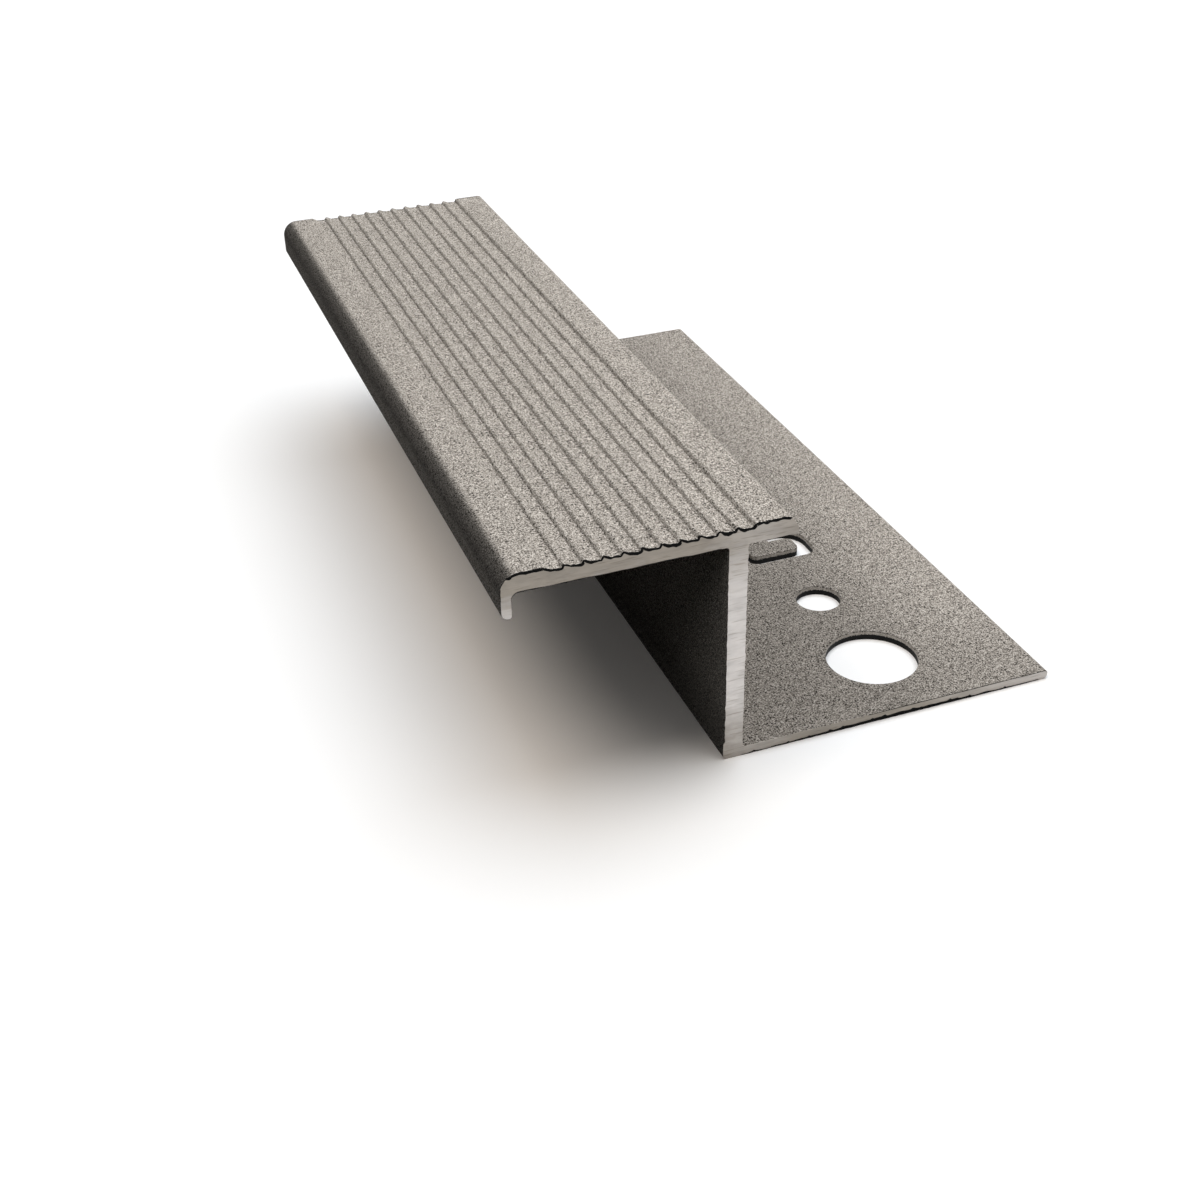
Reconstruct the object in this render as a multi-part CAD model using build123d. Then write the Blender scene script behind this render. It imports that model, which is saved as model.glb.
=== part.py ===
from build123d import *
import os

# Stair nosing: one short length of an extruded profile, sawn square at both ends.
# X runs across the profile, from the nose over the step (-X) to the flange (+X).
# Y runs along the length, and Z is up. The flange lies on the floor of the model.

# Overall sizes, in millimetres
profile_length = 95.0
overall_height = 25.0

# Web: the upright plate between tread and flange. Distances across are from its riser face.
web_thickness = 1.9
web_tread_radius = 0.3
web_flange_radius = 0.3

# Tread plate
tread_thickness = 1.85
nose_overhang = 20.8
back_reach = 6.65
back_bevel_across = 0.8
back_bevel_down = 1.2
back_bevel_radius = 0.6
back_foot_radius = 0.2

# Turned-down lip at the nose
lip_thickness = 1.0
lip_drop = 4.3
nose_radius = 1.75
lip_inner_radius = 0.7
lip_end_outer_radius = 0.65
lip_end_inner_radius = 0.3

# Anti-slip grooves. They are a little wider than their pitch, so that where two of them meet
# they leave a narrow crest, just lower than the plain lands in front of them and behind them.
groove_count = 11
groove_pitch = 1.73
groove_width = 1.97
groove_depth = 0.42
groove_entry_run = 0.64
groove_entry_depth = 0.36
groove_rise_run = 0.52
groove_entry_radius = 0.3
groove_foot_radius = 0.12
crest_radius = 0.15
front_land = 4.0

# Flange that is laid under the tile
flange_reach = 35.3
flange_thickness = 1.0
flange_top_edge_radius = 0.25
flange_foot_edge_radius = 0.65

# Row of punched holes in the flange: large hole, small hole, slot, and again
punch_row = 20.2
punch_start = 8.7
punch_pitch = 12.0
punch_end_margin = 8.0
large_hole_diameter = 9.4
small_hole_diameter = 4.8

# Slot with a tongue left standing in it, joined at its corner next to the web
slot_across = 8.5
slot_along = 6.1
slot_offset = 0.45
slot_corner_radius = 1.4
tongue_gap_web_side = 0.9
tongue_gap_edge_side = 1.8
tongue_gap_start_side = 1.65
tongue_gap_end_side = 1.75
tongue_corner_radius = 0.8
tongue_neck_width = 3.2

# Places that follow from the sizes
origin_from_riser_face = (flange_reach - nose_overhang) / 2
tread_underside = overall_height - tread_thickness
near_end = -profile_length / 2
first_groove = front_land - nose_overhang
last_groove_edge = first_groove + (groove_count - 1) * groove_pitch + groove_width


def plate(left, right, bottom, top):
    """A rectangle of the section, given by its four sides."""
    return Pos((left + right) / 2, (bottom + top) / 2) * Rectangle(right - left, top - bottom)


def corner(section, across, height):
    """The corner of the section nearest to a place."""
    return section.vertices().sort_by_distance((across, height, 0))[0]


def plain_section():
    """The section before the grooves: tread, lip, web and flange, with its inner corners rounded."""
    lip_inner = lip_thickness - nose_overhang
    tread = plate(-nose_overhang, back_reach, tread_underside, overall_height)
    lip = plate(-nose_overhang, lip_inner, overall_height - lip_drop, overall_height)
    web = plate(0, web_thickness, 0, overall_height)
    flange = plate(0, flange_reach, 0, flange_thickness)
    section = tread + lip + web + flange
    section = fillet(corner(section, lip_inner, tread_underside), lip_inner_radius)
    for face in (0, web_thickness):
        section = fillet(corner(section, face, tread_underside), web_tread_radius)
    return fillet(corner(section, web_thickness, flange_thickness), web_flange_radius)


def round_outer_edges(section):
    """Round the nose, the end of the lip and the back edge of the flange."""
    lip_end = overall_height - lip_drop
    section = fillet(corner(section, -nose_overhang, overall_height), nose_radius)
    section = fillet(corner(section, -nose_overhang, lip_end), lip_end_outer_radius)
    section = fillet(corner(section, lip_thickness - nose_overhang, lip_end), lip_end_inner_radius)
    section = fillet(corner(section, flange_reach, flange_thickness), flange_top_edge_radius)
    return fillet(corner(section, flange_reach, 0), flange_foot_edge_radius)


def bevel_back_edge(section):
    """Slope the back edge of the tread, which leans out towards its foot."""
    bevel = Polyline(
        (back_reach - back_bevel_across, overall_height),
        (back_reach, overall_height - back_bevel_down),
        (back_reach, overall_height),
        close=True,
    )
    section -= make_face(bevel)
    section = fillet(corner(section, back_reach, tread_underside), back_foot_radius)
    section = fillet(corner(section, back_reach, overall_height - back_bevel_down), back_bevel_radius)
    return fillet(corner(section, back_reach - back_bevel_across, overall_height), back_bevel_radius)


def groove():
    """One groove below the top of the tread: a slope down, an almost flat floor, a steep rise."""
    outline = Polyline(
        (0, groove_depth),
        (0, 0),
        (groove_entry_run, -groove_entry_depth),
        (groove_width - groove_rise_run, -groove_depth),
        (groove_width, 0),
        (groove_width, groove_depth),
        close=True,
    )
    return make_face(outline)


def groove_row():
    """All the grooves side by side, with the crests, the floors and the feet of the rises rounded."""
    row = Sketch() + [Pos(index * groove_pitch, 0) * groove() for index in range(groove_count)]
    feet, bends, crests = row.vertices().group_by(Axis.Y)[:3]
    for corners, radius in (
        (crests, crest_radius),
        (bends, groove_entry_radius),
        (feet, groove_foot_radius),
    ):
        for place in corners:
            row = fillet(corner(row, place.X, place.Y), radius)
    return row


def grooved_section():
    """The whole section, with the grooves cut into its top."""
    section = bevel_back_edge(round_outer_edges(plain_section()))
    section -= Pos(first_groove, overall_height) * groove_row()
    for edge in (first_groove, last_groove_edge):
        section = fillet(corner(section, edge, overall_height), crest_radius)
    return section


def large_hole():
    """A large round hole that mortar or adhesive keys through."""
    return Circle(large_hole_diameter / 2)


def small_hole():
    """A small round hole for a screw or a nail."""
    return Circle(small_hole_diameter / 2)


def slot_round_tongue():
    """A rounded slot round a tongue, which stays joined to the flange at one corner."""
    slot = RectangleRounded(slot_across, slot_along, slot_corner_radius)
    tongue_left = tongue_gap_web_side - slot_across / 2
    tongue_right = slot_across / 2 - tongue_gap_edge_side
    tongue_near = tongue_gap_start_side - slot_along / 2
    tongue_far = slot_along / 2 - tongue_gap_end_side
    tongue_middle = (tongue_near + tongue_far) / 2
    tongue = Pos((tongue_left + tongue_right) / 2, tongue_middle) * RectangleRounded(
        tongue_right - tongue_left, tongue_far - tongue_near, tongue_corner_radius
    )
    neck = plate(-slot_across / 2, tongue_left + tongue_neck_width, tongue_middle, slot_along / 2)
    return Pos(slot_offset, 0) * (slot - tongue - neck)


def punched_row():
    """The row of punchings along the flange, in the order large, small, slot."""
    kinds = (large_hole(), small_hole(), slot_round_tongue())
    row_length = profile_length - punch_start - punch_end_margin
    count = int(row_length / punch_pitch) + 1
    punches = []
    for index in range(count):
        along = near_end + punch_start + index * punch_pitch
        outline = Pos(punch_row, along) * kinds[index % len(kinds)]
        punches.append(extrude(outline, 2 * flange_thickness, both=True))
    return punches


def nosing_profile():
    """The extruded and punched profile, moved so that its box is centred on the origin."""
    section = Plane.XZ * grooved_section()
    profile = extrude(section, profile_length / 2, both=True)
    profile -= punched_row()
    return Pos(-origin_from_riser_face, 0, 0) * profile


os.makedirs("parts", exist_ok=True)
export_step(nosing_profile(), "parts/nosing_profile.step")
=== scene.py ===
import math

import bmesh
import bpy
from mathutils import Matrix, Vector, noise
from mathutils.geometry import tessellate_polygon


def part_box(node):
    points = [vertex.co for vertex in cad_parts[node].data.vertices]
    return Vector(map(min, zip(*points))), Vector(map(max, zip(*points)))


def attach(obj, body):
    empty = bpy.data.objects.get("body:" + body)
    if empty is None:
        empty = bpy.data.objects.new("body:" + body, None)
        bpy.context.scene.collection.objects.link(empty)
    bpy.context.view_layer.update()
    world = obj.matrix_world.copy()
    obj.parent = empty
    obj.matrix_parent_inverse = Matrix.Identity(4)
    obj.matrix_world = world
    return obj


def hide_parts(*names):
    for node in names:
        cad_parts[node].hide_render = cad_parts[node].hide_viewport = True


# Stair nosing: one short length of an extruded and punched profile, sawn at both ends.
# X runs across the profile, from the nose (-X) to the flange (+X), Y along it, and Z is up.

bl_info = {
    "name": "Stair Nosing",
    "version": (1, 0, 0),
    "blender": (4, 5, 0),
    "location": "View3D > Sidebar > Stair Nosing",
    "description": "Builds a coated stair nosing with a ribbed tread and a punched flange",
    "category": "Add Mesh",
}

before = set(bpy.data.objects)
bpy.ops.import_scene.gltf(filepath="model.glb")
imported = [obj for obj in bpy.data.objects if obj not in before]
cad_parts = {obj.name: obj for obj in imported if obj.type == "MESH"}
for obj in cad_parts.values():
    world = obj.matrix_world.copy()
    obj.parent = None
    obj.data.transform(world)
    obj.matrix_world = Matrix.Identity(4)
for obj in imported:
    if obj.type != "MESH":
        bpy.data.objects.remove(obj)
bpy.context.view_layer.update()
BOX_LOW, BOX_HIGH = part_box("nosing_profile")

MM = 0.001
BODY = "root"
LIT_FLOOR = "lit_floor"
LIT_OBJECT = "lit_object"

# Steps of outlines and meshes
SECTION_TURN = math.radians(12)
SHARP_TURN = math.radians(28)
LARGE_HOLE_POINTS = 72
SMALL_HOLE_POINTS = 56
ROLL_TURN = math.radians(65)
ROLL_STEPS = 3
ROLL_SPREAD = 0.2
PRISM_WELD = MM / 10000
PUNCH_WELD = MM / 2000
PLACE_SLACK = MM / 100

# Places on the profile, across it and in height, where the look of cuts and faces changes
NOSE_BACK = -26 * MM
NOSE_FRONT = -26.5 * MM
LIP_TOP = 22.6 * MM
LIP_TIP = 21.75 * MM
RISER_FRONT = -8 * MM
WEB_MIDDLE = -4.6 * MM
WEB_BACK = -5 * MM
LAST_GROOVE = -1.8 * MM
FLANGE_START = 8 * MM
FLANGE_TOP = 2 * MM
FOOT_FROM, FOOT_TO = -5.5 * MM, 27 * MM
ROW_REACH = 6 * MM

# Grain of the coating: pits beside the grain's own size, the edge and the depth of a pit, the
# share of cells with a pit by height, and the painted shade on the nose and on the flange by the
# web
PITS_PER_GRAIN = 0.45
PIT_EDGE = (0.2, 0.42)
PIT_DEPTH = 0.6
PITTED_HEIGHTS = (2 * MM, 8 * MM)
PIT_SHARES = (0.5, 0.3)
# Painted shade: shares of the coating's colour kept on the nose and on the flange by the web
NOSE_PAINTED_SHADE = 0.4
FLANGE_PAINTED_SHADE = 0.6
CLOUDS_PER_METRE = 700.0
CHIPS_PER_METRE = 2200.0
CHIPPED_DEPTH = 1.2 * MM
COAT_RELIEF = 0.06 * MM

# Sawn metal and the drift of its painted shade, and the walls of the punchings, which have black
# painted shade up to these shares of their height
SCRATCH_TURN = math.radians(4)
SHADE_DRIFT = 6 * MM
METAL_RELIEF = 0.02 * MM
WALL_SHADE_RAGGED = 0.3
WALL_SHADE_TO = ((0.56, 0.0), (0.64, 1.0))

# Edges of the cuts
TREAD_TOP_DEPTH = 1.5 * MM
TREAD_DEPTH = 2.5 * MM
FOOT_TOP = 0.4 * MM
THICKEST_TEARS = 11 * MM
TEARS_SPREAD = 10 * MM
SPIKE_LENGTH = 0.3 * MM
BURR_FOOT = 1.9 * MM
LEAST_EDGE = 0.03 * MM
STRAIGHT_TURN = math.radians(2)
NARROWING = 0.85
NARROWING_TRIES = 60

# Unevenness of the cuts: a seed, and the size of its waves
TEARS = (11, 0.5 * MM)
COAT_WAVES = (3, 0.7 * MM)
FOOT_WAVES = (7, 1.2 * MM)
FOOT_SPIKES = (13, 0.45 * MM)
LIP_WAVES = (5, 1.5 * MM)
WEAR_WAVES = (21, 0.4 * MM)
WEB_BURR = (31, 0.9 * MM)
FINE_WEB_BURR = (37, 0.35 * MM)
UNDER_BURR = (41, 0.6 * MM)

# Soft lamps over the floor: lean to +X and to +Y and width in degrees, share of the strength and
# warmth of the colour. The last one is as wide as the sky.
FLOOR_LAMPS = (
    (13.8, 13.7, 54, 0.583, -0.085),
    (-22.3, 2, 30.6, 0.305, 0.12),
    (27.4, -26.4, 36, 0.082, 0.1),
    (0, 0, 178, 0.2, 0.05),
)
# Lamps over the object: lean to +X and to +Y, and width
OVERHEAD_LAMP = (0, 0, 90)
KEY_LAMP = (42.5, 47.5, 40)
FLOOR_REACH = 3.0
FLOOR_TONE = 0.02


def mm(name, millimetres, description):
    """A length in metres, given in millimetres."""
    return bpy.props.FloatProperty(
        name=name,
        description=description,
        default=millimetres * MM,
        min=0.0,
        precision=5,
        unit="LENGTH",
    )


def tint(name, colour, description):
    """A linear colour."""
    return bpy.props.FloatVectorProperty(
        name=name,
        description=description,
        default=colour,
        min=0.0,
        max=1.0,
        subtype="COLOR",
    )


def amount(name, default, description):
    """A plain number."""
    return bpy.props.FloatProperty(name=name, description=description, default=default, min=0.0)


def copies(name, default, description):
    """A whole number of copies."""
    return bpy.props.IntProperty(name=name, description=description, default=default, min=1)


class NosingSectionSizes(bpy.types.PropertyGroup):
    """Sizes of the extruded section. Distances across are from the riser face of the web."""

    height: mm("Height", (BOX_HIGH.z - BOX_LOW.z) / MM, "From the floor to the tread")
    length: mm("Length", (BOX_HIGH.y - BOX_LOW.y) / MM, "Length of the sample")
    web_thickness: mm("Web Thickness", 1.8, "Thickness of the upright web")
    web_radius: mm("Web Radius", 0.3, "Radius of the corners beside the web")
    tread_thickness: mm("Tread Thickness", 1.85, "Thickness of the tread plate")
    overhang: mm("Overhang", 20.8, "From the riser face to the nose")
    back_reach: mm("Back Reach", 6.65, "From the riser face to the back edge")
    bevel_across: mm("Bevel Across", 0.8, "Run of the slope at the back edge")
    bevel_down: mm("Bevel Down", 1.2, "Drop of the slope at the back edge")
    bevel_radius: mm("Bevel Radius", 0.6, "Radius of both corners of that slope")
    back_foot_radius: mm("Back Foot Radius", 0.2, "Radius at the back edge's foot")
    lip_thickness: mm("Lip Thickness", 1.0, "Thickness of the turned-down lip")
    lip_drop: mm("Lip Drop", 4.3, "From the top of the tread to the end of the lip")
    nose_radius: mm("Nose Radius", 1.75, "Outer radius of the nose")
    lip_inner_radius: mm("Lip Inner Radius", 0.7, "Inner radius of the nose")
    lip_end_outer: mm("Lip End Outer Radius", 0.65, "Radius of its end, outside")
    lip_end_inner: mm("Lip End Inner Radius", 0.3, "Radius of its end, inside")
    flange_reach: mm("Flange Reach", 35.3, "From the riser face to its edge")
    flange_thickness: mm("Flange Thickness", 1.0, "Thickness of the flange")
    flange_top_radius: mm("Flange Top Radius", 0.4, "Upper radius of its edge")
    flange_foot_radius: mm("Flange Foot Radius", 0.5, "Lower radius of its edge")


class NosingGrooveSizes(bpy.types.PropertyGroup):
    """Sizes of the anti-slip grooves in the tread."""

    count: copies("Groove Count", 11, "Number of grooves")
    front_land: mm("Front Land", 3.9, "Plain strip between the nose and the grooves")
    pitch: mm("Groove Pitch", 1.76, "From one groove to the next")
    width: mm("Groove Width", 1.794, "Width of one groove at the top of the tread")
    depth: mm("Groove Depth", 0.37, "Depth at the foot of the rise")
    entry_run: mm("Entry Run", 0.7, "Run of the gentle slope into the groove")
    entry_depth: mm("Entry Depth", 0.33, "Drop of the gentle slope")
    rise_run: mm("Rise Run", 0.2, "Run of the steep rise out of the groove")
    entry_radius: mm("Entry Radius", 0.3, "Radius between slope and floor")
    foot_radius: mm("Foot Radius", 0.06, "Radius at the foot of the rise")
    crest_radius: mm("Crest Radius", 0.25, "Radius of the crests")


class NosingPunchingSizes(bpy.types.PropertyGroup):
    """Sizes of the row of punchings: a large hole, a small hole, a slot, and again."""

    count: copies("Punch Count", 7, "Number of punchings")
    row: mm("Row", 20.2, "From the riser face to the middle of the row")
    start: mm("Start", 8.7, "From the near end to the first punching")
    pitch: mm("Punch Pitch", 12.0, "From one punching to the next")
    large_hole: mm("Large Hole", 9.4, "Diameter of the large holes")
    small_hole: mm("Small Hole", 4.8, "Diameter of the small holes")
    roll: mm("Roll", 0.12, "How far the punch has drawn the upper edges down")
    slot_across: mm("Slot Across", 8.2, "Slot, across the profile")
    slot_along: mm("Slot Along", 5.95, "Slot, along the profile")
    slot_offset: mm("Slot Offset", 0.3, "How far the slot lies outside the row")
    slot_shift: mm("Slot Shift", 0.1, "How far the slot lies nearer to the near end")
    slot_radius: mm("Slot Radius", 1.4, "Radius of the slot's near corners")
    slot_far_radius: mm("Slot Far Radius", 2.7, "Radius of the slot's far corner")
    gap_web: mm("Gap at the Web", 0.85, "Gap beside the tongue, next to the web")
    gap_edge: mm("Gap at the Edge", 1.5, "Gap beside the tongue, next to the edge")
    gap_start: mm("Gap at the Start", 1.45, "Gap before the tongue")
    gap_end: mm("Gap at the End", 1.8, "Gap behind the tongue")
    tongue_radius: mm("Tongue Radius", 0.8, "Radius of the tongue's corners")
    neck: mm("Neck", 3.2, "Width of the neck that holds the tongue")


class NosingCutSizes(bpy.types.PropertyGroup):
    """Sizes of the marks that saw and punch leave."""

    spacing: mm("Point Spacing", 0.2, "Longest step between points of the section")
    end_zone: mm("End Zone", 0.35, "Length of the worn strip beside each cut")
    set_back: mm("Set Back", 0.04, "How far the cuts lie inside the burrs on them")
    coat_edge: mm("Coat Edge", 0.19, "Broken edge of the coating along the tread")
    lip_edge: mm("Lip Edge", 0.07, "Broken edge of the coating along the lip")
    foot_edge: mm("Foot Edge", 0.2, "Torn edge along the foot of the flange")
    chipping: mm("Chipping", 0.14, "How far the coating has chipped back")
    wear: mm("Wear", 0.04, "How far the sawn edges are uneven")
    burr: mm("Burr", 0.055, "How far the saw has pushed the edges of the web out")


class NosingFinish(bpy.types.PropertyGroup):
    """Colours of the finishes."""

    coat: tint("Coat", (0.425, 0.386, 0.342), "Ground of the powder coating")
    coat_dark: tint("Coat Dark", (0.1, 0.089, 0.078), "Dark speckles of the coating")
    coat_light: tint("Coat Light", (0.8, 0.75, 0.69), "Light speckles of the coating")
    pit: tint("Pits", (0.025, 0.022, 0.02), "Dark pits in the coating")
    metal: tint("Metal", (0.61, 0.582, 0.563), "Bare aluminium of the sawn ends")
    # Painted shade of the bare metal, at tread and foot
    metal_dark: tint("Shaded Metal", (0.3, 0.271, 0.235), "The same, at tread and foot")
    # Also the black of the painted shade on the lower part of the punchings' walls
    torn: tint("Torn Edge", (0.008, 0.008, 0.008), "Dark edges left by the tools")
    grain: mm("Grain", 0.13, "Size of the coating's grain")


class NosingStage(bpy.types.PropertyGroup):
    """Camera, lamps and floor."""

    camera_place: bpy.props.FloatVectorProperty(
        name="Camera Place",
        description="Where the camera stands",
        default=(-0.05732, -0.1556, 0.09337),
        subtype="TRANSLATION",
        unit="LENGTH",
    )
    camera_turn: bpy.props.FloatVectorProperty(
        name="Camera Turn",
        description="How the camera is turned",
        default=[math.radians(angle) for angle in (57.619, 1.339, -20.239)],
        subtype="EULER",
        unit="ROTATION",
    )
    lens: bpy.props.FloatProperty(
        name="Lens",
        description="Focal length on a 36 mm sensor",
        default=47.82,
        min=1.0,
        unit="CAMERA",
    )
    floor_strength: amount("Floor Strength", 3.14, "Strength of the floor's lamps")
    lamp_strength: amount("Lamp Strength", 2.1, "Strength of the wide lamp overhead")
    key_strength: amount("Key Strength", 2.1, "Strength of the lamp behind the flange")
    ambient: amount("Ambient", 0.004, "Light from all round")
    floor: tint("Floor", (1.0, 1.0, 1.0), "Colour of the floor")


# Outlines

def round_corner(before, corner, after, radius):
    """The points of the arc that rounds one corner of an outline."""
    if radius == 0:
        return [corner]
    back = (before - corner).normalized()
    ahead = (after - corner).normalized()
    angle = back.angle(ahead)
    reach = radius / math.tan(angle / 2)
    centre = corner + (back + ahead).normalized() * radius / math.sin(angle / 2)
    start = corner + back * reach - centre
    end = corner + ahead * reach - centre
    turn = math.copysign(math.pi - angle, start.x * end.y - start.y * end.x)
    steps = max(3, math.ceil(abs(turn) / SECTION_TURN))
    return [centre + Matrix.Rotation(turn * step / steps, 2) @ start for step in range(steps + 1)]


def fill_in(points, spacing):
    """The same line with points added, so that none of its steps is longer than the spacing."""
    filled = points[:1]
    for before, after in zip(points, points[1:]):
        steps = max(1, math.ceil((after - before).length / spacing - 0.01))
        filled += [before.lerp(after, (step + 1) / steps) for step in range(steps)]
    return filled


def rounded_chain(corners, spacing=math.inf):
    """A line round corners of (across, height, radius). The outer two only give directions."""
    places = [Vector(corner[:2]) for corner in corners]
    points = []
    for index in range(1, len(corners) - 1):
        points += round_corner(*places[index - 1:index + 2], corners[index][2])
    return fill_in(points, spacing)


def plain_corners(section, grooves):
    """The corners of the section from behind the grooves, round the back, to their front."""
    top = section.height
    under = top - section.tread_thickness
    lip_end = top - section.lip_drop
    lip_inner = section.lip_thickness - section.overhang
    front = grooves.front_land - section.overhang
    behind = front + (grooves.count - 1) * grooves.pitch + grooves.width
    back = section.back_reach
    return [
        (behind - grooves.rise_run, top - grooves.depth, 0),
        (behind, top, grooves.crest_radius),
        (back - section.bevel_across, top, section.bevel_radius),
        (back, top - section.bevel_down, section.bevel_radius),
        (back, under, section.back_foot_radius),
        (section.web_thickness, under, section.web_radius),
        (section.web_thickness, section.flange_thickness, section.web_radius),
        (section.flange_reach, section.flange_thickness, section.flange_top_radius),
        (section.flange_reach, 0, section.flange_foot_radius),
        (0, 0, 0),
        (0, under, section.web_radius),
        (lip_inner, under, section.lip_inner_radius),
        (lip_inner, lip_end, section.lip_end_inner),
        (-section.overhang, lip_end, section.lip_end_outer),
        (-section.overhang, top, section.nose_radius),
        (front, top, grooves.crest_radius),
        (front + grooves.entry_run, top - grooves.entry_depth, 0),
    ]


def groove_corners(section, grooves):
    """The corners of the first groove: bend, foot and crest, between the corners beside them."""
    top = section.height
    front = grooves.front_land - section.overhang
    foot = front + grooves.width - grooves.rise_run
    rise = grooves.depth / grooves.rise_run
    entry = grooves.entry_depth / grooves.entry_run
    crest_across = (entry * grooves.pitch + rise * grooves.width) / (rise + entry)
    crest_height = top - entry * (crest_across - grooves.pitch)
    next_bend = front + grooves.pitch + grooves.entry_run
    return [
        (front, top, 0),
        (front + grooves.entry_run, top - grooves.entry_depth, grooves.entry_radius),
        (foot, top - grooves.depth, grooves.foot_radius),
        (front + crest_across, crest_height, grooves.crest_radius),
        (next_bend, top - grooves.entry_depth, 0),
    ]


def slot_corners(punching):
    """The corners of the slot, which runs round three sides of its tongue, as a closed loop."""
    side = punching.slot_across / 2
    end = punching.slot_along / 2
    left = punching.gap_web - side
    right = side - punching.gap_edge
    near = punching.gap_start - end
    far = end - punching.gap_end
    middle = (near + far) / 2
    neck = left + punching.neck
    return [
        (-side, middle, 0),
        (-side, -end, punching.slot_radius),
        (side, -end, punching.slot_radius),
        (side, end, punching.slot_far_radius),
        (neck, end, 0),
        (neck, far, 0),
        (right, far, punching.tongue_radius),
        (right, near, punching.tongue_radius),
        (left, near, punching.tongue_radius),
        (left, middle, 0),
    ]


def circle(diameter, count):
    """Points of a circle."""
    turns = [2 * math.pi * index / count for index in range(count)]
    return [Vector((math.cos(turn), math.sin(turn))) * diameter / 2 for turn in turns]


# Meshes and objects

def new_object(name, data):
    """An object in the scene with that mesh, lamp or camera."""
    made = bpy.data.objects.new(name, data)
    bpy.context.scene.collection.objects.link(made)
    return made


def line_object(name, points):
    """An object of single points in order, upright in XZ."""
    mesh = bpy.data.meshes.new(name)
    mesh.from_pydata([(point.x, 0, point.y) for point in points], [], [])
    return new_object(name, mesh)


def pushed_out(outline, distance):
    """The same closed outline, pushed outwards."""
    area = sum(before.cross(after) for before, after in zip(outline[-1:] + outline, outline))
    pushed = []
    for index, place in enumerate(outline):
        back = (place - outline[index - 1]).normalized()
        ahead = (outline[(index + 1) % len(outline)] - place).normalized()
        out = Vector((back.y + ahead.y, -back.x - ahead.x)).normalized() * math.copysign(1, area)
        pushed.append(place + out * distance / max(0.5, math.sqrt((1 + back.dot(ahead)) / 2)))
    return pushed


def punch_object(name, outline, thickness, roll):
    """A closed punch, from below the flange to above it, that rolls the upper edge of its hole."""
    turns = [ROLL_TURN * step / ROLL_STEPS for step in range(ROLL_STEPS + 1)]
    rings = [(0.0, -thickness)]
    for turn in turns:
        rings.append((roll * (1 - math.cos(turn)), thickness - roll * (1 - math.sin(turn))))
    out, height = rings[-1]
    beyond = ROLL_SPREAD * roll
    rings.append((out + beyond, height + beyond / math.tan(turns[-1])))
    rings.append((out + beyond, 2 * thickness))
    count = len(outline)
    top = count * (len(rings) - 1)
    places = [
        (place.x, place.y, height) for out, height in rings for place in pushed_out(outline, out)
    ]
    faces = [tuple(reversed(range(count))), tuple(range(top, top + count))]
    for low in range(0, top, count):
        for index in range(count):
            after = (index + 1) % count
            high = low + count
            faces.append((low + index, low + after, high + after, high + index))
    mesh = bpy.data.meshes.new(name)
    mesh.from_pydata(places, [], faces)
    bm = bmesh.new()
    bm.from_mesh(mesh)
    bmesh.ops.recalc_face_normals(bm, faces=bm.faces)
    bm.to_mesh(mesh)
    bm.free()
    return new_object(name, mesh)


# Node trees

def add_node(tree, kind, sockets=None, **settings):
    """Add a node with its settings, and set or link its inputs, a node by its first output."""
    made = tree.nodes.new(kind)
    for name, value in settings.items():
        setattr(made, name, value)
    for key, value in (sockets or {}).items():
        value = value.outputs[0] if isinstance(value, bpy.types.Node) else value
        if isinstance(value, bpy.types.NodeSocket):
            tree.links.new(value, made.inputs[key])
        else:
            made.inputs[key].default_value = value
    return made


def new_tree(name, kind, inputs, outputs):
    """A node tree with its named inputs and outputs, and the sockets of its input node."""
    tree = bpy.data.node_groups.new(name, kind)
    for side, sockets in (("INPUT", inputs), ("OUTPUT", outputs)):
        for socket, shape in sockets.items():
            shape = "NodeSocket" + shape
            tree.interface.new_socket(name=socket, in_out=side, socket_type=shape)
    return tree, add_node(tree, "NodeGroupInput").outputs


def maths(tree, operation, first, second=0.0, kind="ShaderNodeMath"):
    """The result of one sum with two values."""
    return add_node(tree, kind, {0: first, 1: second}, operation=operation).outputs[0]


def whole_maths(tree, operation, first, second):
    """The result of one sum with two whole numbers."""
    return maths(tree, operation, first, second, "FunctionNodeIntegerMath")


def product(tree, first, second):
    """Two values multiplied."""
    return maths(tree, "MULTIPLY", first, second)


def compared(tree, operation, first, second):
    """Whether two whole numbers compare as asked."""
    sockets = {"A": first, "B": second}
    return add_node(tree, "FunctionNodeCompare", sockets, data_type="INT", operation=operation)


def parts(tree, vector):
    """The three parts of a vector."""
    return add_node(tree, "ShaderNodeSeparateXYZ", {0: vector}).outputs


def joined(tree, **values):
    """A vector from its parts."""
    return add_node(tree, "ShaderNodeCombineXYZ", values).outputs[0]


def set_modifier(made, tree, values):
    """Put a geometry tree on an object and set its inputs by their identifiers."""
    modifier = made.modifiers.new(tree.name, "NODES")
    modifier.node_group = tree
    for item in tree.interface.items_tree:
        if item.name in values and item.in_out == "INPUT":
            modifier[item.identifier] = values[item.name]


def bake(made):
    """Turn what the modifiers make into the object's own plain mesh."""
    bpy.context.view_layer.update()
    graph = bpy.context.evaluated_depsgraph_get()
    mesh = bpy.data.meshes.new_from_object(made.evaluated_get(graph), depsgraph=graph)
    made.modifiers.clear()
    made.data = mesh
    mesh.name = made.name
    if mesh.materials[0] is None:
        mesh.materials.pop(index=0)


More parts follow.
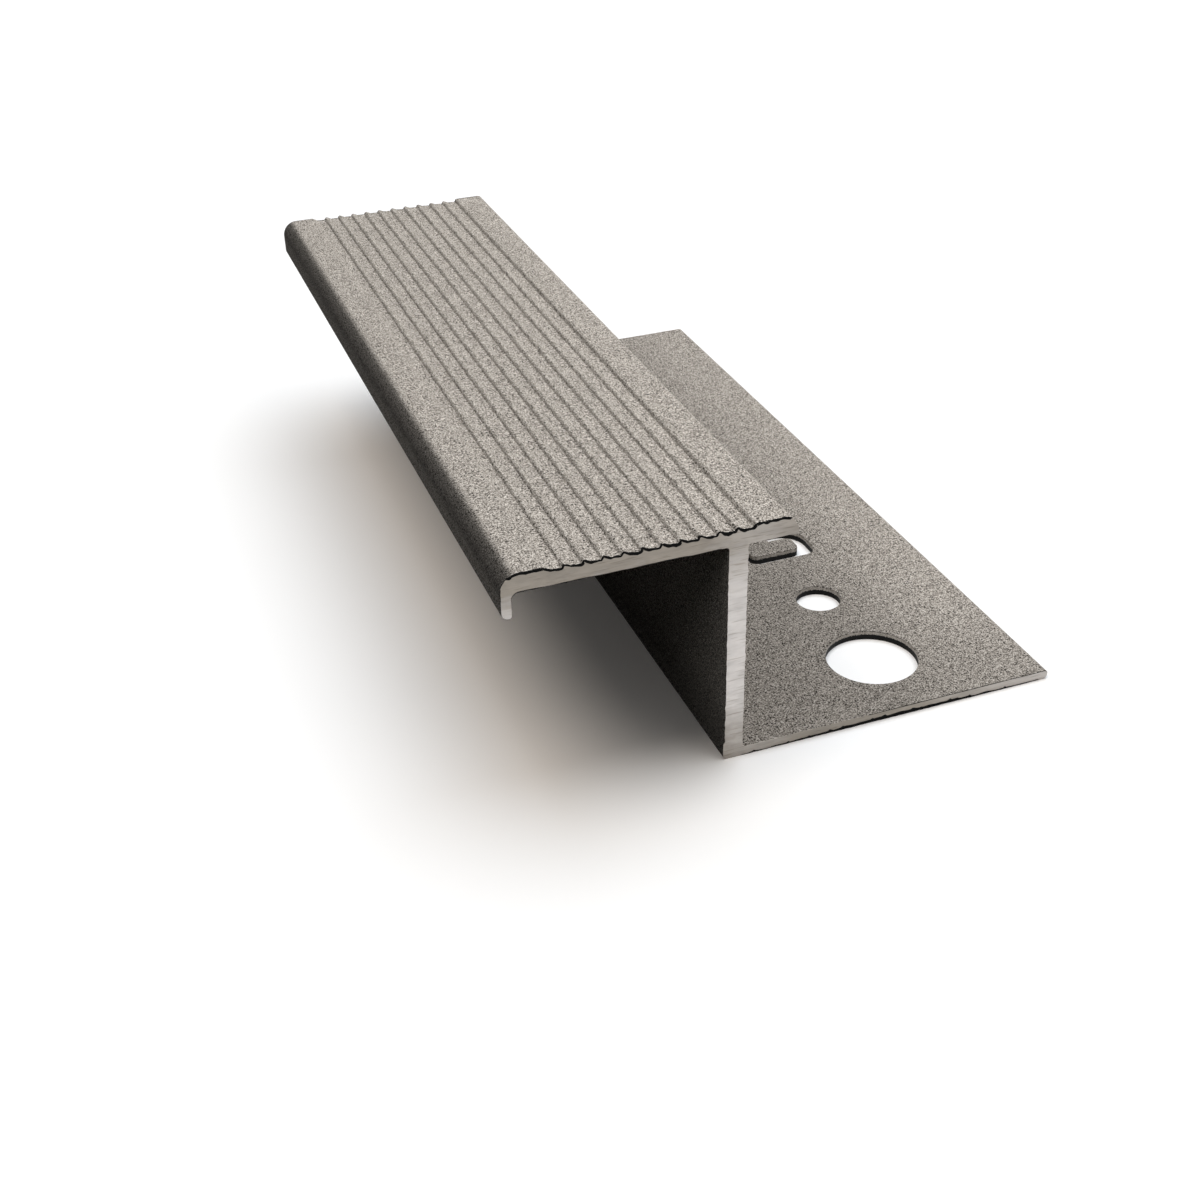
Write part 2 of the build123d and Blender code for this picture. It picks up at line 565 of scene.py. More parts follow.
def section_face(tree, given):
    """Nodes for the section's face, from its plain line and one groove that repeats."""
    lines = ("Plain Line", "Groove Line")
    plain_count, groove_count = [
        add_node(tree, "GeometryNodeAttributeDomainSize", {"Geometry": given[name]})
        for name in lines
    ]
    row = whole_maths(tree, "MULTIPLY", groove_count, given["Groove Count"])
    row = whole_maths(tree, "SUBTRACT", row, given["Crest Points"])
    total = whole_maths(tree, "ADD", plain_count, row)
    loop = add_node(tree, "GeometryNodeMeshCircle", {"Vertices": total}, fill_type="NGON")

    index = add_node(tree, "GeometryNodeInputIndex")
    in_row = whole_maths(tree, "SUBTRACT", index, plain_count)
    in_groove = whole_maths(tree, "MODULO", in_row, groove_count)
    groove = whole_maths(tree, "DIVIDE_FLOOR", in_row, groove_count)
    position = add_node(tree, "GeometryNodeInputPosition")
    on_plain, on_groove = [
        add_node(tree, "GeometryNodeSampleIndex", {
            "Geometry": given[name], "Value": position, "Index": which
        }, data_type="FLOAT_VECTOR")
        for name, which in zip(lines, (index, in_groove))
    ]
    shift = joined(tree, X=product(tree, groove, given["Groove Pitch"]))
    place = add_node(tree, "GeometryNodeSwitch", {
        "Switch": compared(tree, "LESS_THAN", index, plain_count),
        "False": add_node(tree, "ShaderNodeVectorMath", {0: on_groove, 1: shift}),
        "True": on_plain,
    }, input_type="VECTOR")
    near_end = product(tree, given["Length"], -0.5)
    return add_node(tree, "GeometryNodeSetPosition", {
        "Geometry": loop, "Position": place, "Offset": joined(tree, Y=near_end)
    })


def prism_tree():
    """Node group: the closed prism over the section, with a zone at each of its ends."""
    tree, given = new_tree("closed_prism", "GeometryNodeTree", {
        "Plain Line": "Geometry", "Groove Line": "Geometry", "Groove Count": "Int",
        "Groove Pitch": "Float", "Crest Points": "Int", "Length": "Float", "End Zone": "Float",
    }, {"Prism": "Geometry"})
    face = section_face(tree, given)
    end_zone = given["End Zone"]
    middle = maths(tree, "SUBTRACT", maths(tree, "SUBTRACT", given["Length"], end_zone), end_zone)
    mesh, selection = face.outputs[0], True
    for length in (end_zone, middle, end_zone):
        step = add_node(tree, "GeometryNodeExtrudeMesh", {
            "Mesh": mesh,
            "Selection": selection,
            "Offset": joined(tree, Y=1.0),
            "Offset Scale": length,
            "Individual": False,
        }, mode="FACES")
        mesh, selection = step.outputs["Mesh"], step.outputs["Top"]
    bottom = add_node(tree, "GeometryNodeFlipFaces", {"Mesh": face})
    both = add_node(tree, "GeometryNodeJoinGeometry")
    tree.links.new(mesh, both.inputs[0])
    tree.links.new(bottom.outputs[0], both.inputs[0])
    add_node(tree, "NodeGroupOutput", {"Prism": welded(tree, both, PRISM_WELD)})
    return tree


def welded(tree, mesh, distance):
    """A mesh whose points are one where they lie within a distance."""
    sockets = {"Geometry": mesh, "Distance": distance}
    return add_node(tree, "GeometryNodeMergeByDistance", sockets)


def profile_tree():
    """Geometry tree: the extruded and punched profile, with the finish of each of its faces."""
    tree, given = new_tree("punched_profile", "GeometryNodeTree", {
        "Plain Line": "Geometry", "Groove Line": "Object", "Groove Count": "Int",
        "Groove Pitch": "Float", "Crest Points": "Int", "Length": "Float", "End Zone": "Float",
        "Large Hole": "Object", "Small Hole": "Object", "Slot": "Object",
        "Punch Count": "Int", "Punch Pitch": "Float", "First Punch": "Vector",
        "Coating": "Material", "Sawn Metal": "Material", "Punched Wall": "Material",
    }, {"Profile": "Geometry"})
    half = product(tree, given["Length"], 0.5)
    groove = add_node(tree, "GeometryNodeObjectInfo", {"Object": given["Groove Line"]})
    kept = ("Plain Line", "Groove Count", "Groove Pitch", "Crest Points", "Length", "End Zone")
    body = add_node(tree, "GeometryNodeGroup", {
        **{name: given[name] for name in kept}, "Groove Line": groove.outputs["Geometry"]
    }, node_tree=prism_tree())

    row = add_node(tree, "GeometryNodeMeshLine", {
        "Count": given["Punch Count"],
        "Start Location": given["First Punch"],
        "Offset": joined(tree, Y=given["Punch Pitch"]),
    })
    kinds = ("Large Hole", "Small Hole", "Slot")
    index = add_node(tree, "GeometryNodeInputIndex")
    turn = whole_maths(tree, "MODULO", index, len(kinds))
    punches = add_node(tree, "GeometryNodeJoinGeometry")
    for number, kind in enumerate(kinds):
        punch = add_node(tree, "GeometryNodeObjectInfo", {"Object": given[kind]})
        placed = add_node(tree, "GeometryNodeInstanceOnPoints", {
            "Points": row,
            "Selection": compared(tree, "EQUAL", turn, number),
            "Instance": punch.outputs["Geometry"],
        })
        tree.links.new(placed.outputs[0], punches.inputs[0])
    cutters = add_node(tree, "GeometryNodeRealizeInstances", {"Geometry": punches})
    punched = add_node(tree, "GeometryNodeMeshBoolean", {
        "Mesh 1": body, "Mesh 2": cutters
    }, operation="DIFFERENCE", solver="EXACT")

    facing = parts(tree, add_node(tree, "GeometryNodeInputNormal"))
    at = parts(tree, add_node(tree, "GeometryNodeInputPosition"))
    inside_end = maths(tree, "SUBTRACT", half, PLACE_SLACK)
    at_end = maths(tree, "GREATER_THAN", maths(tree, "ABSOLUTE", at["Y"]), inside_end)
    row_across = parts(tree, given["First Punch"])["X"]
    from_row = maths(tree, "ABSOLUTE", maths(tree, "SUBTRACT", at["X"], row_across))
    walls = maths(tree, "LESS_THAN", maths(tree, "ABSOLUTE", facing["Z"]), 0.5)
    for also in (
        maths(tree, "LESS_THAN", from_row, ROW_REACH),
        maths(tree, "SUBTRACT", 1.0, at_end),
        maths(tree, "LESS_THAN", at["Z"], FLANGE_TOP),
    ):
        walls = product(tree, walls, also)
    faces = welded(tree, punched, PUNCH_WELD)
    for material, where in (("Coating", True), ("Sawn Metal", at_end), ("Punched Wall", walls)):
        faces = add_node(tree, "GeometryNodeSetMaterial", {
            "Geometry": faces, "Selection": where, "Material": given[material]
        })
    add_node(tree, "NodeGroupOutput", {"Profile": faces})
    return tree


# Finishes

def noise_value(tree, place, scale, detail, roughness=0.5):
    """The value of a noise texture."""
    return add_node(tree, "ShaderNodeTexNoise", {
        "Vector": place, "Scale": scale, "Detail": detail, "Roughness": roughness
    }).outputs[0]


def drawn_out(tree, place, across, upright, detail, roughness=0.5, turn=0.0):
    """The value of a noise texture with its own scales across and upright, turned in the cut."""
    mapped = add_node(tree, "ShaderNodeMapping", {
        "Vector": place, "Rotation": (0.0, turn, 0.0), "Scale": (across, across, upright)
    })
    return noise_value(tree, mapped, 1.0, detail, roughness)


def between(tree, value, low, high, at_low, at_high, curve="LINEAR"):
    """A number that changes from at_low to at_high while a value goes from low to high."""
    return add_node(tree, "ShaderNodeMapRange", {
        0: value, 1: low, 2: high, 3: at_low, 4: at_high
    }, interpolation_type=curve).outputs[0]


def relief(tree, height, strength, distance):
    """The normal of a fine relief."""
    return add_node(tree, "ShaderNodeBump", {
        "Height": height, "Strength": strength, "Distance": distance
    }).outputs[0]


def ramp(tree, value, *stops):
    """A colour ramp with stops of (position, colour). A plain number is a grey."""
    made = add_node(tree, "ShaderNodeValToRGB", {0: value})
    elements = made.color_ramp.elements
    while len(elements) < len(stops):
        elements.new(0.5)
    for element, (position, colour) in zip(elements, stops):
        if isinstance(colour, float):
            colour = (colour, colour, colour)
        element.position = position
        element.color = (*colour, 1.0)
    return made.outputs[0]


def mix(tree, factor, first, second, blend="MIX"):
    """Two colours mixed."""
    first, second = [
        colour if isinstance(colour, bpy.types.NodeSocket) else (*colour, 1.0)
        for colour in (first, second)
    ]
    sockets = {0: factor, 6: first, 7: second}
    return add_node(tree, "ShaderNodeMix", sockets, data_type="RGBA", blend_type=blend).outputs[2]


def place_group(tree, build, place, sockets):
    """Put a shader group into a material, at its Object coordinates. Its first use builds it."""
    name = build.__name__
    group = bpy.data.node_groups.get(name) or build(name)
    sockets = {"Vector": place, **sockets}
    return add_node(tree, "ShaderNodeGroup", sockets, node_tree=group).outputs


def fine_grain(name):
    """Shader group: the coating's grain, as a tone from 0 to 1, its pits and its height."""
    tree, given = new_tree(name, "ShaderNodeTree", {
        "Vector": "Vector", "Grain Size": "Float", "Pit Share": "Float"
    }, {"Tone": "Float", "Pits": "Float", "Height": "Float"})
    scale = maths(tree, "DIVIDE", 1.0, given["Grain Size"])
    tone = noise_value(tree, given["Vector"], scale, 2.0, 0.6)
    cells = add_node(tree, "ShaderNodeTexVoronoi", {
        "Vector": given["Vector"], "Scale": product(tree, scale, PITS_PER_GRAIN)
    }).outputs
    picked = maths(tree, "LESS_THAN", parts(tree, cells["Color"])[0], given["Pit Share"])
    pits = product(tree, between(tree, cells["Distance"], *PIT_EDGE, 1.0, 0.0), picked)
    height = maths(tree, "SUBTRACT", tone, product(tree, pits, PIT_DEPTH))
    add_node(tree, "NodeGroupOutput", {"Tone": tone, "Pits": pits, "Height": height})
    return tree


def dull_places(name):
    """Shader group: painted shade along the nose and on the flange by the web, painted light on
    the tread's back.
    """
    tree, given = new_tree(name, "ShaderNodeTree", {
        "Vector": "Vector", "Nose": "Float", "Flange": "Float"
    }, {"Share": "Float"})
    at = parts(tree, given["Vector"])

    def step(axis, low, high, at_low, at_high):
        """A smooth step along one axis, between two places in millimetres."""
        return between(tree, at[axis], low * MM, high * MM, at_low, at_high, "SMOOTHSTEP")

    # Painted shade along the nose, darkest on its rounded top
    curve = product(tree, given["Nose"], step("Z", 22.4, 23.8, 1.4, 0.65))
    nose = step("X", -27.3, -26.45, curve, 1.0)
    # Painted shade on the flange: darkest by the web, and at its outer corner by the near end
    near_end = step("Y", -47.5, -30.0, 0.2, 0.0)
    corner = product(tree, near_end, step("X", 14.0, 27.0, 0.0, 1.0))
    flange = maths(tree, "SUBTRACT", step("X", 10.0, 27.0, given["Flange"], 1.0), corner)
    # Painted light: the tread and the web grow lighter towards the back
    tread = step("X", -22.0, -3.0, 1.0, 1.08)
    by_height = {0: step("Z", 1.4, 8.0, 1.0, 0.0), 2: tread, 3: flange}
    along_web = add_node(tree, "ShaderNodeMix", by_height, data_type="FLOAT")
    add_node(tree, "NodeGroupOutput", {"Share": product(tree, nose, along_web)})
    return tree


def chipped_ends(name):
    """Shader group: where the coating has chipped back from the cuts, along the tread's top."""
    tree, given = new_tree(name, "ShaderNodeTree", {
        "Vector": "Vector", "Half Length": "Float", "Chipping": "Float", "Lowest": "Float"
    }, {"Chipped": "Float"})
    at = parts(tree, given["Vector"])
    chips = noise_value(tree, given["Vector"], CHIPS_PER_METRE, 2.0, 0.7)
    reach = product(tree, between(tree, chips, 0.35, 0.7, 0.4, 1.8), given["Chipping"])
    from_end = maths(tree, "SUBTRACT", given["Half Length"], maths(tree, "ABSOLUTE", at["Y"]))
    near = maths(tree, "LESS_THAN", from_end, reach)
    high = maths(tree, "GREATER_THAN", at["Z"], given["Lowest"])
    add_node(tree, "NodeGroupOutput", {"Chipped": product(tree, near, high)})
    return tree


def cleared_tree(owner):
    """The empty node tree of a material or a world."""
    owner.use_nodes = True
    owner.node_tree.nodes.clear()
    return owner.node_tree


def new_material(name):
    """A material, its empty node tree and its Object coordinates."""
    made = bpy.data.materials.new(name)
    tree = cleared_tree(made)
    return made, tree, add_node(tree, "ShaderNodeTexCoord").outputs["Object"]


def add_shader(tree, sockets, kind="ShaderNodeBsdfPrincipled"):
    """The shader of a material."""
    add_node(tree, "ShaderNodeOutputMaterial", {"Surface": add_node(tree, kind, sockets)})


def coat_colour(tree, place, finish):
    """The colour and the grain of the speckled coating, with its painted shade and light."""
    pits = between(tree, parts(tree, place)["Z"], *PITTED_HEIGHTS, *PIT_SHARES)
    sizes = {"Grain Size": finish.grain, "Pit Share": pits}
    grain = place_group(tree, fine_grain, place, sizes)
    darker = tuple(channel * 0.8 for channel in finish.coat)
    speckled = ramp(
        tree, grain["Tone"], (0.36, finish.coat_dark), (0.475, darker), (0.525, finish.coat),
        (0.63, finish.coat_light),
    )
    pitted = mix(tree, grain["Pits"], speckled, finish.pit)
    clouds = ramp(tree, noise_value(tree, place, CLOUDS_PER_METRE, 2.0), (0.3, 0.93), (0.7, 1.0))
    toned = mix(tree, 1.0, pitted, clouds, "MULTIPLY")
    # Painted shade on the nose and on the flange by the web, painted light on the tread's back
    shares = {"Nose": NOSE_PAINTED_SHADE, "Flange": FLANGE_PAINTED_SHADE}
    painted_shade = place_group(tree, dull_places, place, shares)["Share"]
    return mix(tree, 1.0, toned, joined(tree, X=painted_shade, Y=painted_shade, Z=painted_shade), "MULTIPLY"), grain


def coating(finish, cuts, section):
    """Textured powder coating in warm grey, chipped along the sawn ends of the tread."""
    made, tree, place = new_material("textured_coating")
    colour, grain = coat_colour(tree, place, finish)
    chipped = place_group(tree, chipped_ends, place, {
        "Half Length": section.length / 2 - cuts.set_back,
        "Chipping": cuts.chipping,
        "Lowest": section.height - CHIPPED_DEPTH,
    })["Chipped"]
    add_shader(tree, {
        "Base Color": mix(tree, chipped, colour, finish.torn),
        "Roughness": 0.8,
        "Specular IOR Level": 0.02,
        "Normal": relief(tree, grain["Height"], 0.5, COAT_RELIEF),
    })
    return made


def sawn_metal(finish):
    """Bare aluminium with marks of a saw, and painted shade: bright on the web, darker along tread
    and foot.
    """
    made, tree, place = new_material("sawn_metal")
    marks = drawn_out(tree, place, 300.0, 2400.0, 3.0, 0.65)
    cloud = drawn_out(tree, place, 450.0, 1100.0, 3.0)
    scratches = drawn_out(tree, place, 500.0, 6500.0, 1.0, turn=SCRATCH_TURN)
    at = parts(tree, place)
    # Painted shade: darker towards the tread's top and the flange's foot, bright in between
    drift = product(tree, maths(tree, "SUBTRACT", cloud, 0.5), SHADE_DRIFT)
    level = maths(tree, "DIVIDE", maths(tree, "ADD", at["Z"], drift), 25 * MM)
    shaded = ramp(
        tree, level, (0.05, finish.metal_dark), (0.3, finish.metal), (0.75, finish.metal),
        (0.93, finish.metal_dark),
    )
    # Painted light: lighter by the middle of the web, towards the flange's edge and at the lip's
    # tip
    from_web = maths(tree, "ABSOLUTE", maths(tree, "SUBTRACT", at["X"], WEB_MIDDLE))
    near_web = between(tree, from_web, 1 * MM, 5 * MM, 0.3, 0.0)
    outer = between(tree, at["X"], 13 * MM, 28 * MM, 0.0, 0.7)
    on_lip = maths(tree, "LESS_THAN", at["X"], NOSE_FRONT)
    on_tip = product(tree, on_lip, maths(tree, "LESS_THAN", at["Z"], LIP_TIP))
    brighter = maths(tree, "MAXIMUM", outer, product(tree, on_tip, 0.3))
    shaded = mix(tree, maths(tree, "MAXIMUM", near_web, brighter), shaded, finish.metal)
    patches = ramp(tree, cloud, (0.3, 0.84), (0.65, 1.0))
    streaks = ramp(tree, marks, (0.3, 0.8), (0.5, 1.0))
    lines = ramp(tree, scratches, (0.3, (0.72, 0.7, 0.67)), (0.4, 1.0))
    colour = mix(tree, 0.6, mix(tree, 1.0, shaded, patches, "MULTIPLY"), streaks, "MULTIPLY")
    colour = mix(tree, 0.8, colour, lines, "MULTIPLY")
    add_shader(tree, {
        "Base Color": colour,
        "Metallic": 1.0,
        "Roughness": 0.5,
        "Normal": relief(tree, marks, 0.15, METAL_RELIEF),
    })
    return made


def torn_edge(finish):
    """The dark broken edge of the coating, and the dark tears at the foot of the flange."""
    made, tree, place = new_material("torn_edge")
    grain = place_group(tree, fine_grain, place, {"Grain Size": finish.grain})
    light = tuple(channel * 2 for channel in finish.torn)
    colour = ramp(tree, grain["Tone"], (0.4, finish.torn), (0.7, light))
    add_shader(tree, {"Base Color": colour, "Roughness": 0.8, "Specular IOR Level": 0.1})
    return made


def punched_wall(finish, thickness):
    """The wall of a punching: coated above, with black painted shade over its lower part."""
    made, tree, place = new_material("punched_wall")
    colour, grain = coat_colour(tree, place, finish)
    # Painted shade: black over the lower part of the wall, up to a ragged line
    ragged = maths(tree, "SUBTRACT", grain["Tone"], 0.5)
    ragged = product(tree, ragged, thickness * WALL_SHADE_RAGGED)
    level = maths(tree, "ADD", parts(tree, place)["Z"], ragged)
    share = ramp(tree, maths(tree, "DIVIDE", level, thickness), *WALL_SHADE_TO)
    colour = mix(tree, share, finish.torn, mix(tree, 0.5, colour, finish.coat))
    add_shader(tree, {"Base Color": colour, "Metallic": 0.8, "Roughness": 0.6})
    return made


# The profile

def uneven(place, seed, size):
    """A smooth random value about from -1 to 1."""
    return noise.noise(Vector(place) / size + Vector((seed, 0, 0))) * 2


def edge_width(place, outward, cuts, section):
    """How wide the dark broken edge is at one point of a cut's outline: nothing if it is bare."""
    along = (place.x, 0, place.z)
    if place.z > section.height - TREAD_TOP_DEPTH and outward.z > 0.2:
        is_plain = place.x < NOSE_BACK or place.x > LAST_GROOVE
        if is_plain and outward.z < 0.8:
            return 0.0
        tear = max(0.0, uneven(along, *TEARS)) ** 2
        return cuts.coat_edge * (1 + 0.35 * uneven(along, *COAT_WAVES) + 0.4 * tear)
    if place.z < FOOT_TOP and outward.z < -0.7 and FOOT_FROM < place.x < FOOT_TO:
        thick = math.exp(-((place.x - THICKEST_TEARS) / TEARS_SPREAD) ** 2)
        width = cuts.foot_edge * (0.5 + 1.6 * thick + 0.3 * uneven(along, *FOOT_WAVES))
        return width + SPIKE_LENGTH * max(0.0, uneven(along, *FOOT_SPIKES) - 0.45)
    if place.z < FLANGE_TOP and outward.z > 0.6 and place.x > FLANGE_START:
        return cuts.lip_edge
    if place.x < NOSE_BACK and outward.z < 0.6 and place.z < LIP_TOP:
        return 0.6 * cuts.lip_edge
    on_tread = place.z > section.height - TREAD_DEPTH
    if on_tread and outward.z < 0.2 and place.x < RISER_FRONT:
        return cuts.lip_edge * (1 + 0.5 * uneven(along, *LIP_WAVES))
    return 0.0


def burr_height(place, outward, cuts):
    """How far the saw has pushed one point of a cut's outline out, on the web and under it."""
    along = (place.x, 0, place.z)
    if place.z < BURR_FOOT and outward.x < -0.9 and place.x > RISER_FRONT:
        return 3 * cuts.burr
    if abs(outward.x) > 0.9 and RISER_FRONT < place.x < WEB_BACK:
        coarse = max(0.0, uneven(along, *WEB_BURR))
        return cuts.burr * (coarse + max(0.0, uneven(along, *FINE_WEB_BURR) - 0.3))
    if outward.z < -0.9 and place.z > 20 * MM:
        return 1.5 * cuts.burr * max(0.0, uneven(along, *UNDER_BURR) - 0.5)
    return 0.0


def tightest_width(places, index, facing):
    """How wide an edge can be at one point before the lines across it meet, where it bulges."""
    before = places[index] - places[index - 1]
    after = places[(index + 1) % len(places)] - places[index]
    turn = math.atan2(before.cross(after).dot(facing), before.dot(after))
    if turn < STRAIGHT_TURN:
        return math.inf
    return 0.6 * (before.length + after.length) / 2 / turn


def inner_line(places, inward, widths):
    """The inner side of the broken edge, narrowed wherever it would cross itself."""
    count = len(places)
    reach = [max(width, LEAST_EDGE) for width in widths]
    for _ in range(NARROWING_TRIES):
        line = [places[i] + inward[i] * reach[i] for i in range(count)]
        crossed = False
        for i in range(count):
            after = (i + 1) % count
            run = places[after] - places[i]
            if (line[after] - line[i]).dot(run) < 0.25 * run.length_squared:
                reach[i] *= NARROWING
                reach[after] *= NARROWING
                crossed = True
        if not crossed:
            break
    return line


def finish_cut(bm, side, cuts, section, torn_index):
    """Break the coating's edge round one sawn end, and wear that end a little."""
    end = side * (section.length / 2 - cuts.set_back)
    cap = max(
        (face for face in bm.faces if abs(face.calc_center_median().y - end) < PLACE_SLACK),
        key=lambda face: face.calc_area(),
    )
    loop = list(cap.verts)
    count = len(loop)
    material = cap.material_index
    facing = cap.normal.copy()
    places = [vertex.co.copy() for vertex in loop]
    inward, widths = [], []
    for index, place in enumerate(places):
        run = places[(index + 1) % count] - places[index - 1]
        inward.append(facing.cross(run).normalized())
        width = edge_width(place, -inward[-1], cuts, section)
        widths.append(min(width, tightest_width(places, index, facing)))
    inner = [bm.verts.new(place) for place in inner_line(places, inward, widths)]
    for vertex, place, inwards in zip(loop, places, inward):
        vertex.co.y -= side * cuts.wear * max(0.0, 0.5 + 0.5 * uneven(place, *WEAR_WAVES))
        vertex.co -= inwards * burr_height(place, -inwards, cuts)
    bmesh.ops.delete(bm, geom=[cap], context="FACES_ONLY")
    flat = [Vector((vertex.co.x, vertex.co.z, 0)) / MM for vertex in inner]
    for corners in tessellate_polygon([flat]):
        face = bm.faces.new([inner[corner] for corner in corners])
        face.normal_update()
        if face.normal.dot(facing) < 0:
            face.normal_flip()
        face.material_index = material
    for index in range(count):
        after = (index + 1) % count
        strip = bm.faces.new((loop[index], loop[after], inner[after], inner[index]))
        is_torn = widths[index] + widths[after] > 0
        strip.material_index = torn_index if is_torn else material


def build_profile(scene):
    """Build the coated profile in place of its solid."""
    section = scene.nosing_section
    grooves = scene.nosing_grooves
    punching = scene.nosing_punching
    cuts = scene.nosing_cuts
    finish = scene.nosing_finish
    shift = Vector((-(section.flange_reach - section.overhang) / 2, 0))
    around_groove = groove_corners(section, grooves)
    plain, groove = [
        [point + shift for point in rounded_chain(corners, cuts.spacing)]
        for corners in (plain_corners(section, grooves), around_groove)
    ]
    crest = round_corner(*[Vector(place[:2]) for place in around_groove[2:]], grooves.crest_radius)
    crest_start = min(range(len(groove)), key=lambda i: (groove[i] - crest[0] - shift).length)

    made = line_object("profile_body", plain)
    groove_line = line_object("groove_line", groove)
    offset = Vector((punching.slot_offset, -punching.slot_shift))
    slot = slot_corners(punching)
    outlines = {
        "Large Hole": circle(punching.large_hole, LARGE_HOLE_POINTS),
        "Small Hole": circle(punching.small_hole, SMALL_HOLE_POINTS),
        "Slot": [point + offset for point in rounded_chain(slot[-1:] + slot + slot[:1])],
    }
    punches = {
        name: punch_object(name, outline, section.flange_thickness, punching.roll)
        for name, outline in outlines.items()
    }
    set_modifier(made, profile_tree(), {
        "Groove Line": groove_line,
        "Groove Count": grooves.count,
        "Groove Pitch": grooves.pitch,
        "Crest Points": len(groove) - crest_start,
        "Length": section.length - 2 * cuts.set_back,
        "End Zone": cuts.end_zone,
        **punches,
        "Punch Count": punching.count,
        "Punch Pitch": punching.pitch,
        "First Punch": (punching.row + shift.x, punching.start - section.length / 2, 0),
        "Coating": coating(finish, cuts, section),
        "Sawn Metal": sawn_metal(finish),
        "Punched Wall": punched_wall(finish, section.flange_thickness),
    })
    bake(made)
    for helper in (groove_line, *punches.values()):
        bpy.data.objects.remove(helper)

    made.data.materials.append(torn_edge(finish))
    bm = bmesh.new()
    bm.from_mesh(made.data)
    for side in (-1, 1):
        finish_cut(bm, side, cuts, section, len(made.data.materials) - 1)
    bm.to_mesh(made.data)
    bm.free()
    made.data.shade_smooth()
    made.data.set_sharp_from_angle(angle=SHARP_TURN)
    lit_group(LIT_OBJECT).objects.link(made)
    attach(made, BODY)
    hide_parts("nosing_profile")


# The stage

def white_to_the_eye(tree):
    """1 for rays that show a white background, and 0 for rays that light the object."""
    path = add_node(tree, "ShaderNodeLightPath").outputs
    seen = maths(tree, "MAXIMUM", path["Is Camera Ray"], path["Is Glossy Ray"])
    return maths(tree, "MAXIMUM", seen, path["Is Transmission Ray"])


def build_world(scene, stage):
    """A white background, and a little light from all round."""
    world = bpy.data.worlds.new("studio")
    scene.world = world
    tree = cleared_tree(world)
    strength = between(tree, white_to_the_eye(tree), 0.0, 1.0, stage.ambient, 1.0)
    background = add_node(tree, "ShaderNodeBackground", {
        "Color": (1.0, 1.0, 1.0, 1.0), "Strength": strength
    })
    add_node(tree, "ShaderNodeOutputWorld", {"Surface": background})


def build_floor(stage):
    """A pale floor that keeps the object's shadow."""
    mesh = bpy.data.meshes.new("floor")
    sides = ((-1, -1), (1, -1), (1, 1), (-1, 1))
    corners = [(FLOOR_REACH * across, FLOOR_REACH * along, 0.0) for across, along in sides]
    mesh.from_pydata(corners, [], [range(len(corners))])
    floor = new_object("floor", mesh)
    made = bpy.data.materials.new("pale_floor")
    tree = cleared_tree(made)
    unseen = tuple(channel * FLOOR_TONE for channel in stage.floor)
    colour = mix(tree, white_to_the_eye(tree), unseen, stage.floor)
    add_shader(tree, {"Color": colour}, "ShaderNodeBsdfDiffuse")
    mesh.materials.append(made)
    lit_group(LIT_FLOOR).objects.link(floor)


def lit_group(name):
    """The collection of what one set of lamps shines on."""
    return bpy.data.collections.get(name) or bpy.data.collections.new(name)


def add_sun(name, strength, lamp, group):
    """A far lamp that shines on one group only. A lamp is its lean to +X and +Y, and its width."""
    across, along, width = (math.radians(angle) for angle in lamp)
    light = bpy.data.lights.new(name, "SUN")
    light.energy = strength
    light.angle = width
    made = new_object(name, light)
    towards = Vector((math.tan(across), math.tan(along), 1))
    made.rotation_euler = towards.to_track_quat("Z", "Y").to_euler()
    made.light_linking.receiver_collection = group
    return light


def build_stage(scene):
    """Floor, lamps, background and camera."""
    stage = scene.nosing_stage
    scene.view_settings.view_transform = "Standard"
    build_world(scene, stage)
    build_floor(stage)
    on_floor, on_object = lit_group(LIT_FLOOR), lit_group(LIT_OBJECT)
    for number, (*lamp, share, warmth) in enumerate(FLOOR_LAMPS, 1):
        light = add_sun(f"floor_lamp_{number}", stage.floor_strength * share, lamp, on_floor)
        light.color = (1 + warmth, 1, 1 - warmth)
    add_sun("overhead_lamp", stage.lamp_strength, OVERHEAD_LAMP, on_object)
    add_sun("key_lamp", stage.key_strength, KEY_LAMP, on_object)
    camera = bpy.data.cameras.new("camera")
    camera.lens = stage.lens
    camera.sensor_width = 36.0
    camera.clip_start = 0.01
    seen_from = new_object("camera", camera)
    seen_from.location = stage.camera_place
    seen_from.rotation_euler = stage.camera_turn
    scene.camera = seen_from


# Operators and panel

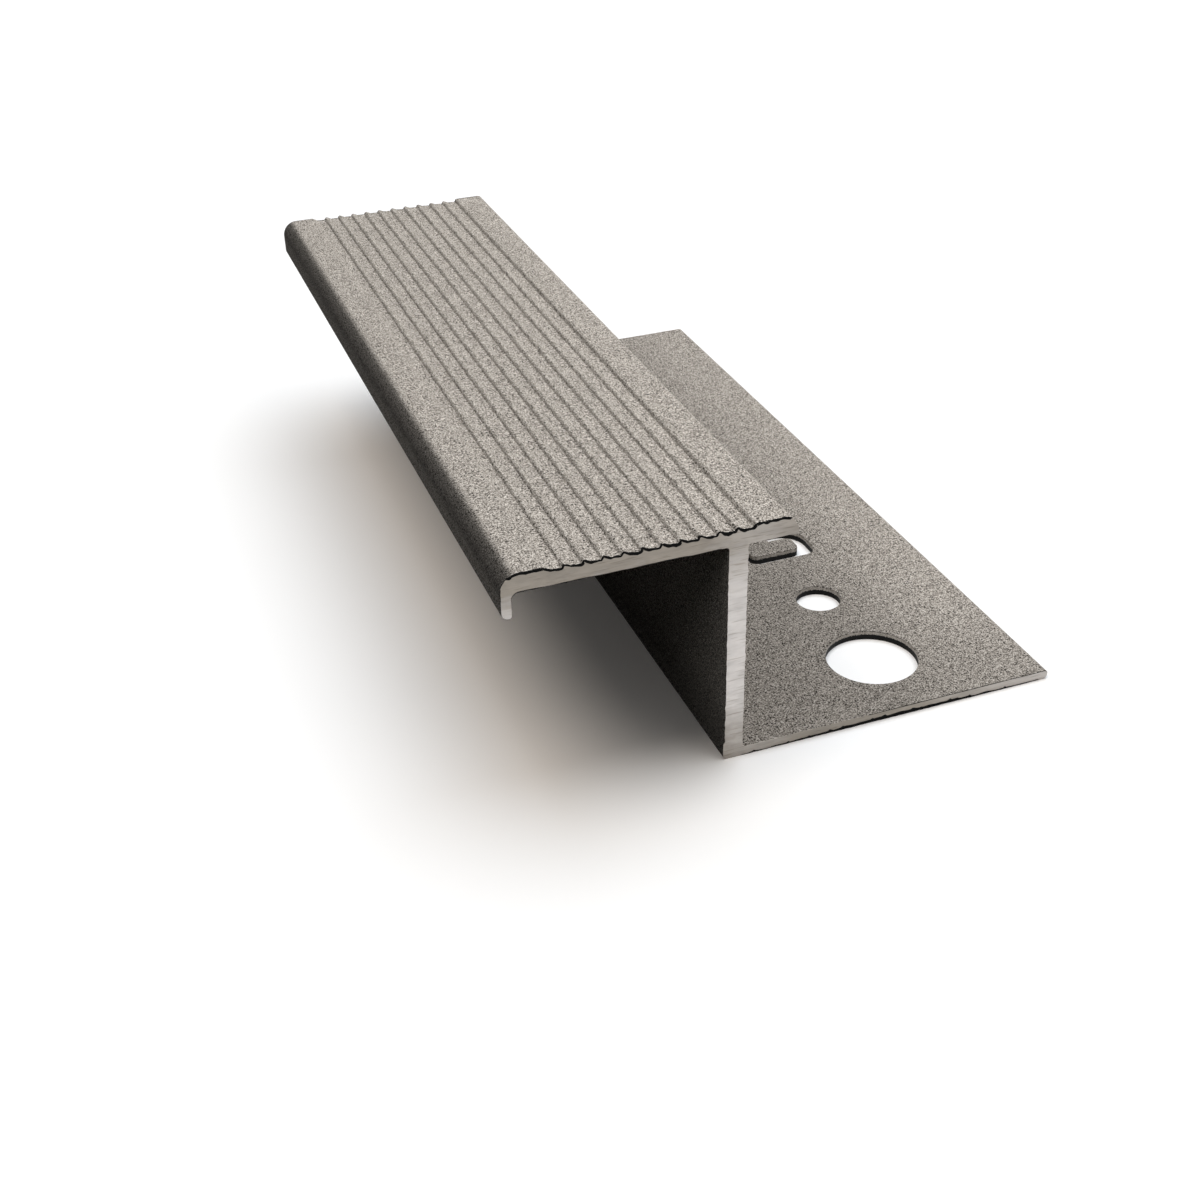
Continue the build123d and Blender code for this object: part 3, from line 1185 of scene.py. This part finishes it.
class OBJECT_OT_nosing_profile(bpy.types.Operator):
    """Build the extruded, punched and coated profile"""

    bl_idname = "object.nosing_profile"
    bl_label = "Build Profile"
    bl_options = {"REGISTER", "UNDO"}

    def execute(self, context):
        build_profile(context.scene)
        return {"FINISHED"}


class OBJECT_OT_nosing_stage(bpy.types.Operator):
    """Build the floor, the lamps, the background and the camera"""

    bl_idname = "object.nosing_stage"
    bl_label = "Build Stage"
    bl_options = {"REGISTER", "UNDO"}

    def execute(self, context):
        build_stage(context.scene)
        return {"FINISHED"}


class VIEW3D_PT_stair_nosing(bpy.types.Panel):
    """Sizes, finishes and steps of the stair nosing"""

    bl_label = "Stair Nosing"
    bl_space_type = "VIEW_3D"
    bl_region_type = "UI"
    bl_category = "Stair Nosing"

    def draw(self, context):
        for group in PROPERTY_GROUPS:
            box = self.layout.box()
            settings = getattr(context.scene, PROPERTY_GROUPS[group])
            for name in settings.bl_rna.properties.keys()[2:]:
                box.prop(settings, name)
        for operator in OPERATORS:
            self.layout.operator(operator.bl_idname)


PROPERTY_GROUPS = {
    NosingSectionSizes: "nosing_section",
    NosingGrooveSizes: "nosing_grooves",
    NosingPunchingSizes: "nosing_punching",
    NosingCutSizes: "nosing_cuts",
    NosingFinish: "nosing_finish",
    NosingStage: "nosing_stage",
}
OPERATORS = (OBJECT_OT_nosing_stage, OBJECT_OT_nosing_profile)


def register():
    for group, name in PROPERTY_GROUPS.items():
        bpy.utils.register_class(group)
        setattr(bpy.types.Scene, name, bpy.props.PointerProperty(type=group))
    for operator in OPERATORS:
        bpy.utils.register_class(operator)
    bpy.utils.register_class(VIEW3D_PT_stair_nosing)


def unregister():
    bpy.utils.unregister_class(VIEW3D_PT_stair_nosing)
    for operator in reversed(OPERATORS):
        bpy.utils.unregister_class(operator)
    for group, name in reversed(list(PROPERTY_GROUPS.items())):
        delattr(bpy.types.Scene, name)
        bpy.utils.unregister_class(group)


def main():
    """Build everything in order."""
    register()
    bpy.ops.object.nosing_stage()
    bpy.ops.object.nosing_profile()


if __name__ == "__main__":
    main()
